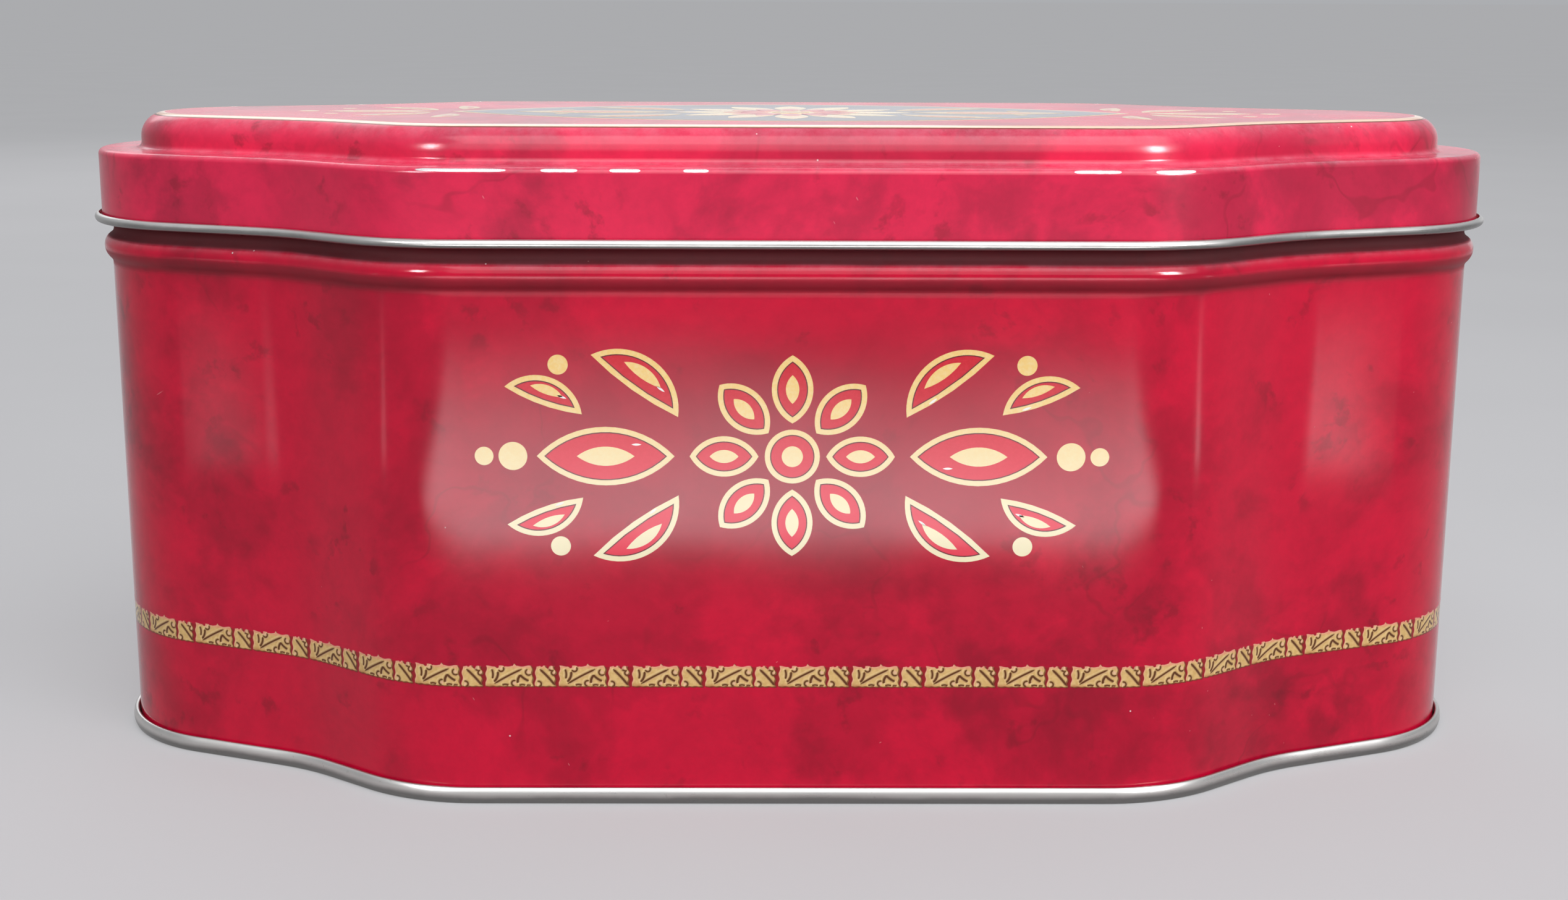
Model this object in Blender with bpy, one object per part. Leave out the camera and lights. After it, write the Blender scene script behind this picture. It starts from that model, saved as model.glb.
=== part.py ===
"""Decorative slip-lid tin in three pressed tinplate pieces.

The plan is a long rectangle with a flat bay at the front and the back, an S-shaped step at
each side of the bay, a slanted flank and a full round end. The body wall is one formed
strip, locked in a seam at the back, with a stop rib below the lid and a rolled rim. The
bottom plate is pressed, and its edge is rolled up round the wall's foot. The lid is drawn
from one sheet, with a raised panel and an outward curl, and lifts straight off along +Z.

Metres, +Z up, front towards -Y. The origin is under the middle of the tin, on the surface
that the tin stands on.
"""
import math

import bpy
import bmesh

# Sheet metal and the gaps between pieces that touch
SHEET = 0.0003
GAP = 0.0003

# Plan of the wall's outer face
BODY_LENGTH = 0.240
BODY_DEPTH = 0.096
STEP_OUTER_RADIUS = 0.030
STEP_ANGLE = math.radians(37.5)
STEP_LINK = 0.0095
STEP_INNER_RADIUS = 0.043
FLANK_ANGLE = math.radians(22)
FLANK_RUN = 0.0174

# Curves are drawn as chords, each within this distance of the curve and this turn
CHORD_ERROR = 0.0001
CHORD_TURN = math.radians(46)

# Body wall, whose height runs from the ground to the top of the rolled rim
BODY_HEIGHT = 0.1038
NECK_INSET = 0.0004
RIM_CURL = 0.0015
RIM_CURL_TURN = math.radians(255)
RIB_HEIGHT = 0.006
RIB_REACH = 0.0013
RIB_FILLET = 0.0012
RIB_BELOW_LID = 0.0012
SEAM_WIDTH = 0.005
SEAM_FOLD = 0.0006
SEAM_END = 0.003

# Bottom plate, whose rolled hem carries the tin. The hem's face bulges: it leans out by the
# bulge angle at its foot and in by as much at its top.
HEM_HEIGHT = 0.0028
HEM_BULGE_ANGLE = math.radians(24)
HEM_BEND = 0.0005
HEM_FOLD = 0.0004
HEM_HOOK = 0.0012
PANEL_RISE = 0.0032
PANEL_BEND = 0.0006
PANEL_BORDER = 0.005
PANEL_STEP = 0.0006
PANEL_STEP_ANGLE = math.radians(40)
PANEL_STEP_BEND = 0.001

# Lid, whose skirt depth runs from the shoulder to the bottom of the curl
SKIRT_CLEARANCE = 0.0003
SKIRT_DEPTH = 0.0126
LID_CURL = 0.00155
LID_CURL_TURN = math.radians(265)
SHOULDER_WIDTH = 0.0073
SHOULDER_RADIUS = 0.001
PLATEAU_RISE = 0.006
PLATEAU_EDGE_RADIUS = 0.0042
PLATEAU_FOOT_RADIUS = 0.001

# Places that follow from the sizes above
SHOULDER_Z = BODY_HEIGHT + GAP + SHEET
LID_CURL_BOTTOM_Z = SHOULDER_Z - SKIRT_DEPTH
RIB_CREST_Z = LID_CURL_BOTTOM_Z - RIB_BELOW_LID - RIB_HEIGHT / 2
RIM_REACH = RIM_CURL - NECK_INSET - SHEET
SKIRT_FACE = RIM_REACH + SKIRT_CLEARANCE + SHEET
FOOT_Z = SHEET + GAP
HEM_BULGE = ((HEM_HEIGHT - (HEM_BEND + HEM_FOLD) * (1 - math.sin(HEM_BULGE_ANGLE)))
             / (2 * math.sin(HEM_BULGE_ANGLE)))
HEM_BULGE_OUT = HEM_BULGE * (1 - math.cos(HEM_BULGE_ANGLE))
HEM_REACH = GAP + HEM_FOLD * (1 + math.cos(HEM_BULGE_ANGLE)) + HEM_BULGE_OUT


def walk(start, heading, moves):
    """Follow straights and arcs: returns (u, v, heading) at each point.

    A move is (length, 0) for a straight, or (radius, turn) for an arc, to the left if the
    turn is positive.
    """
    u, v = start
    points = [(u, v, heading)]
    for size, turn in moves:
        if turn == 0:
            u += size * math.cos(heading)
            v += size * math.sin(heading)
            points.append((u, v, heading))
            continue
        side = math.copysign(size, turn)
        centre_u = u - side * math.sin(heading)
        centre_v = v + side * math.cos(heading)
        largest_turn = min(CHORD_TURN, 2 * math.acos(max(0, 1 - CHORD_ERROR / size)))
        steps = math.ceil(abs(turn) / largest_turn)
        for step in range(1, steps + 1):
            angle = heading + turn * step / steps
            points.append((centre_u + side * math.sin(angle), centre_v - side * math.cos(angle), angle))
        u, v, heading = points[-1]
    return points


def plan_quarter():
    """Front right quarter of the plan, from the bay's end to the middle of the round end."""
    step_rise = (STEP_OUTER_RADIUS * (1 - math.cos(STEP_ANGLE)) + STEP_LINK * math.sin(STEP_ANGLE)
                 + STEP_INNER_RADIUS * (math.cos(FLANK_ANGLE) - math.cos(STEP_ANGLE)))
    step_run = (STEP_OUTER_RADIUS * math.sin(STEP_ANGLE) + STEP_LINK * math.cos(STEP_ANGLE)
                + STEP_INNER_RADIUS * (math.sin(STEP_ANGLE) - math.sin(FLANK_ANGLE)))
    end_rise = BODY_DEPTH / 2 - step_rise - FLANK_RUN * math.sin(FLANK_ANGLE)
    end_radius = end_rise / math.cos(FLANK_ANGLE)
    end_run = end_radius * (1 - math.sin(FLANK_ANGLE))
    bay_end = BODY_LENGTH / 2 - step_run - FLANK_RUN * math.cos(FLANK_ANGLE) - end_run
    moves = [(STEP_OUTER_RADIUS, STEP_ANGLE),
             (STEP_LINK, 0),
             (STEP_INNER_RADIUS, FLANK_ANGLE - STEP_ANGLE),
             (FLANK_RUN, 0),
             (end_radius, math.pi / 2 - FLANK_ANGLE)]
    return walk((bay_end, -BODY_DEPTH / 2), 0, moves)


def plan_stations():
    """The whole plan, anticlockwise from above, as (x, y, outward x, outward y)."""
    front_right = [(x, y, math.sin(angle), -math.cos(angle)) for x, y, angle in plan_quarter()]
    back_right = [(x, -y, out_x, -out_y) for x, y, out_x, out_y in reversed(front_right[:-1])]
    right = front_right + back_right
    left = [(-x, -y, -out_x, -out_y) for x, y, out_x, out_y in right]
    return right + left


def add_object(name, mesh, material):
    """Link a mesh as a smooth-shaded object with one material."""
    mesh.shade_smooth()
    mesh.set_sharp_from_angle(angle=CHORD_TURN)
    mesh.materials.append(material)
    piece = bpy.data.objects.new(name, mesh)
    bpy.context.collection.objects.link(piece)
    return piece


def sheet_piece(name, path, back_side, closed_middle, material, base_z=0):
    """Sweep a bent sheet round the plan.

    The path holds (offset from the wall's face, z, heading) along one face of the sheet.
    back_side is 1 where the sheet's other face lies to the left of the path, else -1. With
    closed_middle, flat panels close the path's first edge on both faces.
    """
    back = [(offset - back_side * SHEET * math.sin(angle), z + back_side * SHEET * math.cos(angle))
            for offset, z, angle in path]
    section = [(offset, z) for offset, z, angle in path] + back[::-1]
    model = bmesh.new()
    rings = []
    for offset, z in section:
        rings.append([model.verts.new((x + offset * out_x, y + offset * out_y, z - base_z))
                      for x, y, out_x, out_y in plan_stations()])
    count = len(rings[0])
    last_pair = len(rings) - (1 if closed_middle else 0)
    for index in range(last_pair):
        here, beyond = rings[index], rings[(index + 1) % len(rings)]
        for station in range(count):
            after = (station + 1) % count
            model.faces.new((here[station], here[after], beyond[after], beyond[station]))
    if closed_middle:
        model.faces.new(rings[0])
        model.faces.new(rings[-1])
    bmesh.ops.recalc_face_normals(model, faces=model.faces[:])
    mesh = bpy.data.meshes.new(name)
    model.to_mesh(mesh)
    model.free()
    return add_object(name, mesh, material)


def finish(name, colour, roughness, metallic):
    """A plain principled material."""
    material = bpy.data.materials.new(name)
    material.use_nodes = True
    shader = material.node_tree.nodes["Principled BSDF"]
    shader.inputs["Base Color"].default_value = (*colour, 1)
    shader.inputs["Roughness"].default_value = roughness
    shader.inputs["Metallic"].default_value = metallic
    return material


def s_curve(height, reach, fillet):
    """Angle and crest radius of the S that leaves a straight by reach over height."""
    angle = 2 * math.atan2(reach, height)
    return angle, height / math.sin(angle) - fillet


def body_wall(material):
    """Formed strip: foot, wall, stop rib, neck and a rim rolled outwards."""
    lower_turn, lower_crest = s_curve(RIB_HEIGHT / 2, RIB_REACH, RIB_FILLET)
    upper_turn, upper_crest = s_curve(RIB_HEIGHT / 2, RIB_REACH + NECK_INSET, RIB_FILLET)
    rib_bottom_z = RIB_CREST_Z - RIB_HEIGHT / 2
    rib_top_z = RIB_CREST_Z + RIB_HEIGHT / 2
    curl_z = BODY_HEIGHT - RIM_CURL / 2
    moves = [(rib_bottom_z - FOOT_Z, 0),
             (RIB_FILLET, -lower_turn),
             (lower_crest, lower_turn),
             (upper_crest, upper_turn),
             (RIB_FILLET, -upper_turn),
             (curl_z - rib_top_z, 0),
             (RIM_CURL / 2 - SHEET, -RIM_CURL_TURN)]
    path = walk((0, FOOT_Z), math.pi / 2, moves)
    wall = sheet_piece("body_wall", path, 1, False, material)

    fold_bottom_z = PANEL_RISE + PANEL_STEP + SEAM_END
    fold_top_z = rib_bottom_z - SEAM_END
    fold_inner_y = BODY_DEPTH / 2 - SHEET - SEAM_FOLD
    fold_outer_y = BODY_DEPTH / 2 - SHEET / 2
    fold = bmesh.new()
    bmesh.ops.create_cube(fold, size=1)
    fold_size = (SEAM_WIDTH, fold_outer_y - fold_inner_y, fold_top_z - fold_bottom_z)
    fold_middle = (0, (fold_outer_y + fold_inner_y) / 2, (fold_top_z + fold_bottom_z) / 2)
    bmesh.ops.scale(fold, vec=fold_size, verts=fold.verts[:])
    bmesh.ops.translate(fold, vec=fold_middle, verts=fold.verts[:])
    fold_mesh = bpy.data.meshes.new("seam_fold")
    fold.to_mesh(fold_mesh)
    fold.free()
    seam = add_object("seam_fold", fold_mesh, material)
    seam.hide_render = True
    seam.display_type = "WIRE"
    join = wall.modifiers.new("lock_seam", "BOOLEAN")
    join.operation = "UNION"
    join.solver = "EXACT"
    join.object = seam
    return wall


def bottom_plate(material):
    """Pressed plate: stepped panel, countersink, hem round the wall's foot and its hook."""
    chuck_face = -(SHEET + GAP + SHEET)
    hem_flat = (HEM_REACH - HEM_BULGE_OUT - HEM_BEND * math.cos(HEM_BULGE_ANGLE)
                - chuck_face - HEM_BEND)
    step_height = PANEL_STEP - 2 * PANEL_STEP_BEND * (1 - math.cos(PANEL_STEP_ANGLE))
    step_slope = step_height / math.sin(PANEL_STEP_ANGLE)
    step_run = (2 * PANEL_STEP_BEND * math.sin(PANEL_STEP_ANGLE)
                + step_slope * math.cos(PANEL_STEP_ANGLE))
    start = (chuck_face - PANEL_BEND - PANEL_BORDER - step_run, PANEL_RISE + PANEL_STEP)
    moves = [(PANEL_STEP_BEND, -PANEL_STEP_ANGLE),
             (step_slope, 0),
             (PANEL_STEP_BEND, PANEL_STEP_ANGLE),
             (PANEL_BORDER, 0),
             (PANEL_BEND, -math.pi / 2),
             (PANEL_RISE - PANEL_BEND - HEM_BEND, 0),
             (HEM_BEND, math.pi / 2),
             (hem_flat, 0),
             (HEM_BEND, math.pi / 2 - HEM_BULGE_ANGLE),
             (HEM_BULGE, 2 * HEM_BULGE_ANGLE),
             (HEM_FOLD, math.pi - HEM_BULGE_ANGLE),
             (HEM_HOOK, 0)]
    return sheet_piece("bottom_plate", walk(start, 0, moves), 1, True, material)


def lid(material):
    """Drawn lid: raised panel, shoulder, skirt and a curl rolled outwards."""
    plateau_face = SKIRT_FACE - SHOULDER_WIDTH
    start = (plateau_face - PLATEAU_EDGE_RADIUS, SHOULDER_Z + PLATEAU_RISE)
    curl_z = LID_CURL_BOTTOM_Z + LID_CURL / 2
    moves = [(PLATEAU_EDGE_RADIUS, -math.pi / 2),
             (PLATEAU_RISE - PLATEAU_EDGE_RADIUS - PLATEAU_FOOT_RADIUS, 0),
             (PLATEAU_FOOT_RADIUS, math.pi / 2),
             (SHOULDER_WIDTH - PLATEAU_FOOT_RADIUS - SHOULDER_RADIUS, 0),
             (SHOULDER_RADIUS, -math.pi / 2),
             (SHOULDER_Z - SHOULDER_RADIUS - curl_z, 0),
             (LID_CURL / 2 - SHEET, LID_CURL_TURN)]
    path = walk(start, 0, moves)
    piece = sheet_piece("lid", path, -1, True, material, BODY_HEIGHT)
    piece.location.z = BODY_HEIGHT
    return piece


for stale in list(bpy.data.objects):
    bpy.data.objects.remove(stale)

red_lacquer = finish("red_lacquer", (0.50, 0.016, 0.045), 0.22, 0)
body_wall(red_lacquer)
bottom_plate(finish("bare_tinplate", (0.62, 0.61, 0.58), 0.34, 1))
lid(finish("lid_lacquer", (0.58, 0.022, 0.062), 0.18, 0))
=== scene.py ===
"""Decorative slip-lid tin of marbled red tinplate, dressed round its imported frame.

Metres, +Z up, front towards -Y. The sections follow the making of the tin: the body wall and
its prints, the lock seam, the bottom plate, the lid and its prints. The floor, the lights
and the camera come last.
"""
from math import asin, atan2, ceil, copysign, cos, pi, radians, sin, sqrt, tan

import bpy
from mathutils import Matrix, Vector


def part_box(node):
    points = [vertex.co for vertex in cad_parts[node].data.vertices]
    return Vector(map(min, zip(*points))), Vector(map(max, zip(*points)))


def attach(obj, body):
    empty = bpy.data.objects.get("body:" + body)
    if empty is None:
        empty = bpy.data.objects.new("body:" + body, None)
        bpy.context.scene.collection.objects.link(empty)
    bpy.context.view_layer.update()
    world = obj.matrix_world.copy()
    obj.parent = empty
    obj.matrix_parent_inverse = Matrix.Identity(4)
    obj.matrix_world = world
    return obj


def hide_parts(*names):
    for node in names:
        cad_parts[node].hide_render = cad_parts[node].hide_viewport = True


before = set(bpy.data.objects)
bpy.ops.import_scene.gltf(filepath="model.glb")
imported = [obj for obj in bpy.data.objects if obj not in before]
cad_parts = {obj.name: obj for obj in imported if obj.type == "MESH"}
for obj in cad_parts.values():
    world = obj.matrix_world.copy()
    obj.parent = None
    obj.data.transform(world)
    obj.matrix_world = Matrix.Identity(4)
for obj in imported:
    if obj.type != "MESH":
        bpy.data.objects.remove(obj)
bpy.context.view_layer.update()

# Body wall. One strip of printed tinplate, bent round the plan and locked in a seam at the
# back. A stop rib is rolled in below the lid, and the necked rim above it is rolled outwards
# under the lid. Its foot stands in the fold of the bottom plate's hem.
wall_low, wall_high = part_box("body_wall")
sheet = 0.0003
gap = 0.0003
rib_reach = 0.0013
rib_height = 0.006
rib_fillet = 0.0012
rib_crest_z = 0.0876
neck_inset = 0.0004
rim_curl = 0.0015
rim_turn = radians(255)
wall_half_length = wall_high.x - rib_reach
wall_half_depth = wall_high.y - rib_reach
foot_z = wall_low.z
rim_top_z = wall_high.z

step_outer_radius = 0.030
step_angle = radians(37.5)
step_link = 0.0095
step_inner_radius = 0.043
flank_angle = radians(22)
flank_run = 0.0174
section_turn = radians(9)
plan_turn = radians(3)
weld = 0.00001


def plan_moves():
    """Front right quarter of the plan, from the middle of the bay to the middle of the end."""
    step_rise = (step_outer_radius * (1 - cos(step_angle)) + step_link * sin(step_angle)
                 + step_inner_radius * (cos(flank_angle) - cos(step_angle)))
    step_run = (step_outer_radius * sin(step_angle) + step_link * cos(step_angle)
                + step_inner_radius * (sin(step_angle) - sin(flank_angle)))
    end_rise = wall_half_depth - step_rise - flank_run * sin(flank_angle)
    end_radius = end_rise / cos(flank_angle)
    end_run = end_radius * (1 - sin(flank_angle))
    bay_half = wall_half_length - step_run - flank_run * cos(flank_angle) - end_run
    return [(bay_half, 0),
            (step_outer_radius, step_angle),
            (step_link, 0),
            (step_inner_radius, flank_angle - step_angle),
            (flank_run, 0),
            (end_radius, pi / 2 - flank_angle)]


def name_piece(name):
    """Name the mesh just added, and apply its place, turn and size."""
    piece = bpy.context.object
    piece.name = name
    bpy.ops.object.transform_apply(location=True, rotation=True, scale=True)
    return piece


def start_point(name, place):
    """A new mesh that is one selected point, in edit mode."""
    bpy.ops.object.select_all(action="DESELECT")
    bpy.ops.mesh.primitive_plane_add(size=sheet, location=place)
    piece = name_piece(name)
    bpy.ops.object.mode_set(mode="EDIT")
    bpy.ops.mesh.select_mode(type="VERT")
    bpy.ops.mesh.merge(type="CENTER")
    return piece


def bend(place, heading, axis, moves, turn_step):
    """Draw on from what is selected: a straight is extruded and an arc is spun.

    A move is (length, 0) for a straight or (radius, turn) for an arc about the axis. A long
    straight gets a short stretch at each end, which keeps the shading flat between them. The
    spin tool's angle runs against the turn of a rotation matrix.
    """
    place, heading, axis = Vector(place), Vector(heading), Vector(axis)
    margin = 0.0008
    for size, turn in moves:
        if turn == 0:
            lengths = [margin, size - 2 * margin, margin] if size > 3 * margin else [size]
            for length in lengths:
                bpy.ops.mesh.extrude_region_move(TRANSFORM_OT_translate={"value": length * heading})
                place = place + length * heading
            continue
        centre = place + copysign(size, turn) * axis.cross(heading)
        steps = ceil(abs(turn) / turn_step)
        bpy.ops.mesh.spin(steps=steps, angle=-turn, center=centre, axis=axis)
        rotation = Matrix.Rotation(turn, 3, axis)
        place = centre + rotation @ (place - centre)
        heading = rotation @ heading


def sweep_sheet(name, offset, z, heading, moves, *materials):
    """A sheet's outer face: its section drawn at the front and swept round the plan."""
    front = Vector((0, -wall_half_depth, 0))
    out, up = Vector((0, -1, 0)), Vector((0, 0, 1))
    piece = start_point(name, front + offset * out + z * up)
    way = cos(heading) * out + sin(heading) * up
    bend(front + offset * out + z * up, way, (-1, 0, 0), moves, section_turn)
    bpy.ops.mesh.select_all(action="SELECT")
    bend(front, (1, 0, 0), (0, 0, 1), plan_moves(), plan_turn)
    bpy.ops.object.mode_set(mode="OBJECT")
    mirror = piece.modifiers.new("other_quarters", "MIRROR")
    mirror.use_axis = (True, True, False)
    mirror.merge_threshold = weld
    bpy.ops.object.modifier_apply(modifier=mirror.name)
    for material in materials:
        piece.data.materials.append(material)
    return piece


def edit_all():
    """Go into edit mode with the whole mesh selected."""
    bpy.ops.object.mode_set(mode="EDIT")
    bpy.ops.mesh.select_all(action="SELECT")


def smooth():
    """Smooth shading, with the sharp edges kept sharp."""
    bpy.ops.object.shade_smooth_by_angle(angle=radians(35))


def thicken(piece, thickness, **settings):
    """Thicken a face on its inner side."""
    solid = piece.modifiers.new("sheet", "SOLIDIFY")
    solid.thickness = thickness
    solid.offset = -1
    for setting, value in settings.items():
        setattr(solid, setting, value)
    bpy.ops.object.modifier_apply(modifier=solid.name)
    smooth()


def give_thickness(piece, thickness, turned=False):
    """Point the faces outwards, then give the sheet its thickness.

    The wall, with its rolled rim, comes out of this inside out unless it is turned.
    """
    edit_all()
    bpy.ops.mesh.remove_doubles(threshold=weld)
    bpy.ops.mesh.normals_make_consistent(inside=turned)
    bpy.ops.object.mode_set(mode="OBJECT")
    thicken(piece, thickness, use_even_offset=True, use_quality_normals=True,
            material_offset=1, material_offset_rim=1)


def link(value, socket):
    """Feed a node's input from another node's output."""
    socket.id_data.links.new(value, socket)


def add_node(kind, inputs, tree=None, **settings):
    """A shader node with its settings, and with each named input set or linked.

    It joins the tree of what it is linked to. Where nothing is, the tree is given.
    """
    linked = [value for value in inputs.values() if isinstance(value, bpy.types.NodeSocket)]
    node = (tree or linked[0].id_data).nodes.new("ShaderNode" + kind)
    for setting, value in settings.items():
        setattr(node, setting, value)
    for socket, value in inputs.items():
        if isinstance(value, bpy.types.NodeSocket):
            link(value, node.inputs[socket])
        else:
            node.inputs[socket].default_value = value
    return node


def maths(operation, *values, clamp=False):
    """One sum on values and sockets."""
    inputs = dict(enumerate(values))
    return add_node("Math", inputs, operation=operation, use_clamp=clamp).outputs[0]


def times(product, *values):
    """A product of two or more."""
    for value in values:
        product = maths("MULTIPLY", product, value)
    return product


def largest(most, *values):
    """The largest of some masks."""
    for value in values:
        most = maths("MAXIMUM", most, value)
    return most


def apart(first, second):
    """How far two values are apart."""
    return maths("ABSOLUTE", maths("SUBTRACT", first, second))


def vector_maths(operation, *vectors):
    """One sum on vectors. A length or a distance comes out as a value."""
    node = add_node("VectorMath", dict(enumerate(vectors)), operation=operation)
    return node.outputs["Value" if operation in ("LENGTH", "DISTANCE", "DOT_PRODUCT") else "Vector"]


def axes_of(vector):
    """The X, Y and Z of a place or a direction."""
    return add_node("SeparateXYZ", {0: vector}).outputs


def facing_up(place):
    """How far the surface faces up, from -1 to 1, in the tree that the place belongs to."""
    return axes_of(add_node("NewGeometry", {}, tree=place.id_data).outputs["Normal"])[2]


def fade(value, start, end):
    """0 up to start and 1 from end, smooth between. It falls where start is the larger."""
    inputs = {"Value": value, "From Min": start, "From Max": end}
    return add_node("MapRange", inputs, interpolation_type="SMOOTHSTEP").outputs[0]


def window(value, start, full, last, end):
    """0 up to start, 1 from full to last and 0 again from end."""
    return times(fade(value, start, full), fade(value, end, last))


def mix(factor, first, second, blend_type="MIX"):
    """Two colours mixed."""
    inputs = {0: factor, 6: first, 7: second}
    return add_node("Mix", inputs, data_type="RGBA", blend_type=blend_type).outputs[2]


def tint(colour, paint, mask, strength):
    """A colour with a paint over it, at this strength where the mask is 1."""
    return mix(times(mask, strength), colour, paint)


def noise(vector, scale, detail, roughness=0.5):
    """Soft noise from 0 to 1, whose scale counts its lumps in a metre."""
    inputs = {"Vector": vector, "Scale": scale, "Detail": detail, "Roughness": roughness}
    return add_node("TexNoise", inputs).outputs["Fac"]


def new_group(name, inputs, outputs):
    """An empty node group, with the sockets that come in and those that go out."""
    group = bpy.data.node_groups.new(name, "ShaderNodeTree")
    for in_out, sockets in (("INPUT", inputs), ("OUTPUT", outputs)):
        for socket, kind in sockets.items():
            group.interface.new_socket(name=socket, in_out=in_out, socket_type="NodeSocket" + kind)
    given = group.nodes.new("NodeGroupInput").outputs
    return group, given, group.nodes.new("NodeGroupOutput").inputs


def marbling_group():
    """Printed marbling: ragged patches, soft dark clouds, thin veins, blots and a mottled grain."""
    inputs = {"Vector": "Vector", "Ground": "Color", "Cloud": "Color", "Vein": "Color",
              "Patches": "Float"}
    group, given, result = new_group("marbling", inputs, {"Color": "Color"})
    start = given["Vector"]
    drift = add_node("TexNoise", {"Vector": start, "Scale": 24, "Detail": 3})
    drift = vector_maths("SUBTRACT", drift.outputs["Color"], (0.5, 0.5, 0.5))
    drift = vector_maths("MULTIPLY", drift, (0.014, 0.014, 0.014))
    place = vector_maths("ADD", start, drift)
    banks = fade(noise(place, 16, 2), 0.40, 0.72)
    puffs = fade(noise(place, 95, 7, 0.62), 0.40, 0.68)
    puffs = times(maths("MULTIPLY_ADD", banks, 0.60, 0.14), puffs)
    slabs = fade(noise(place, 32, 7, 0.60), 0.46, 0.56)
    clouds = maths("ADD", puffs, times(slabs, given["Patches"]), clamp=True)
    mottle = fade(noise(place, 240, 6, 0.72), 0.28, 0.74)
    ridge = apart(noise(place, 40, 3, 0.52), 0.5)
    veins = times(fade(ridge, 0.013, 0.002), fade(noise(start, 34, 4), 0.50, 0.62))
    blots = times(fade(noise(place, 170, 4, 0.6), 0.57, 0.68), fade(noise(start, 60, 3), 0.42, 0.58))
    colour = mix(clouds, given["Ground"], given["Cloud"])
    colour = tint(colour, given["Vein"], veins, 0.34)
    colour = tint(colour, given["Vein"], blots, 0.50)
    light_grain, dark_grain = (1.06, 1.06, 1.06, 1), (0.91, 0.91, 0.92, 1)
    grain = mix(mottle, light_grain, dark_grain)
    link(mix(1.0, colour, grain, "MULTIPLY"), result["Color"])
    return group


def rare_cells(cells, channel, rarity):
    """1 in the few cells whose random colour passes the rarity in one channel."""
    chance = add_node("SeparateColor", {0: cells.outputs["Color"]}).outputs[channel]
    return maths("GREATER_THAN", chance, rarity)


def dust_group():
    """Specks of dust, thickest on what faces up, and hair-fine scratches."""
    outputs = {"Specks": "Float", "Scratches": "Float"}
    group, given, result = new_group("dust", {"Vector": "Vector"}, outputs)
    place = given["Vector"]
    share = times(fade(facing_up(place), 0.1, 0.9), -0.07)
    specks = add_node("TexVoronoi", {"Vector": place, "Scale": 520})
    size = times(rare_cells(specks, 0, maths("ADD", share, 0.994)), 0.095)
    core = times(size, 0.5)
    link(fade(specks.outputs["Distance"], size, core), result["Specks"])
    hairs = []
    for turn, lean in ((0.5, 0.3), (-0.9, -0.7)):
        turned = add_node("Mapping", {"Vector": place, "Rotation": (lean, turn, 0)})
        drawn = vector_maths("MULTIPLY", turned.outputs[0], (900, 900, 40))
        cells = add_node("TexVoronoi", {"Vector": drawn, "Scale": 1})
        hair = fade(cells.outputs["Distance"], 0.10, 0.04)
        hairs.append(times(rare_cells(cells, 1, 0.985), hair))
    link(largest(*hairs), result["Scratches"])
    return group


def waviness_group():
    """Slow waves of the thin sheet and the faint orange peel of its varnish, in metres."""
    group, given, result = new_group("waviness", {"Vector": "Vector"}, {"Height": "Float"})
    waves = times(noise(given["Vector"], 22, 1), 0.00035)
    peel = times(noise(given["Vector"], 900, 2), 0.0000012)
    link(maths("ADD", waves, peel), result["Height"])
    return group


def bare_tin_group():
    """Bright rolled tinplate: fine rolling marks, a greyer bloom, dull spots, and painted shade on its
    lowest edge.
    """
    inputs = {"Vector": "Vector", "Shade Clear Above": "Float", "Shade Full Below": "Float"}
    outputs = {"Color": "Color", "Roughness": "Float", "Height": "Float"}
    group, given, result = new_group("bare tin", inputs, outputs)
    place = given["Vector"]
    flat = fade(maths("ABSOLUTE", facing_up(place)), 0.75, 0.95)
    along_wall = vector_maths("MULTIPLY", place, (22, 22, 1500))
    along_panel = vector_maths("MULTIPLY", place, (22, 1500, 22))
    marks = add_node("Mix", {0: flat, 2: noise(along_wall, 1, 4, 0.7),
                             3: noise(along_panel, 1, 4, 0.7)}).outputs[0]
    bloom = fade(noise(place, 55, 5, 0.6), 0.35, 0.75)
    spots = fade(noise(place, 700, 3, 0.6), 0.66, 0.75)
    colour = mix(bloom, (0.62, 0.61, 0.585, 1), (0.50, 0.495, 0.475, 1))
    colour = tint(colour, (0.32, 0.30, 0.27, 1), spots, 0.5)
    # Painted shade: below a given height the tin is darkened, standing for the dark it would reflect
    # there.
    height = maths("ADD", axes_of(place)[2], times(bloom, 0.0004))
    shaded_low = fade(height, given["Shade Clear Above"], given["Shade Full Below"])
    colour = tint(colour, (0.15, 0.145, 0.14, 1), shaded_low, 0.85)
    rough = maths("MULTIPLY_ADD", marks, 0.16, 0.20)
    rough = maths("ADD", rough, times(maths("ADD", bloom, spots), 0.06))
    link(colour, result["Color"])
    link(rough, result["Roughness"])
    link(times(marks, 0.000004), result["Height"])
    return group


marbling = marbling_group()
dust = dust_group()
waviness = waviness_group()
bare_tin = bare_tin_group()
crimson = (0.61, 0.0030, 0.035, 1)
maroon = (0.35, 0.0032, 0.023, 1)
dark_vein = (0.20, 0.0050, 0.017, 1)


def new_material(name, specular=0.27, metallic=0.0):
    """A material, its shader and the place on the piece that patterns read."""
    material = bpy.data.materials.new(name)
    material.use_nodes = True
    shader = material.node_tree.nodes["Principled BSDF"]
    shader.inputs["Metallic"].default_value = metallic
    shader.inputs["Specular IOR Level"].default_value = specular
    return material, shader, add_node("TexCoord", {}, tree=material.node_tree).outputs["Object"]


def use_group(group, inputs):
    """The outputs of one use of a node group."""
    return add_node("Group", inputs, node_tree=group).outputs


def dress_shader(shader, colour, rough, height):
    """Feed the shader its colour and roughness, and the fine relief of its surface."""
    bump = add_node("Bump", {"Height": height, "Distance": 1.0, "Strength": 1.0})
    link(colour, shader.inputs["Base Color"])
    link(rough, shader.inputs["Roughness"])
    link(bump.outputs[0], shader.inputs["Normal"])


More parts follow.
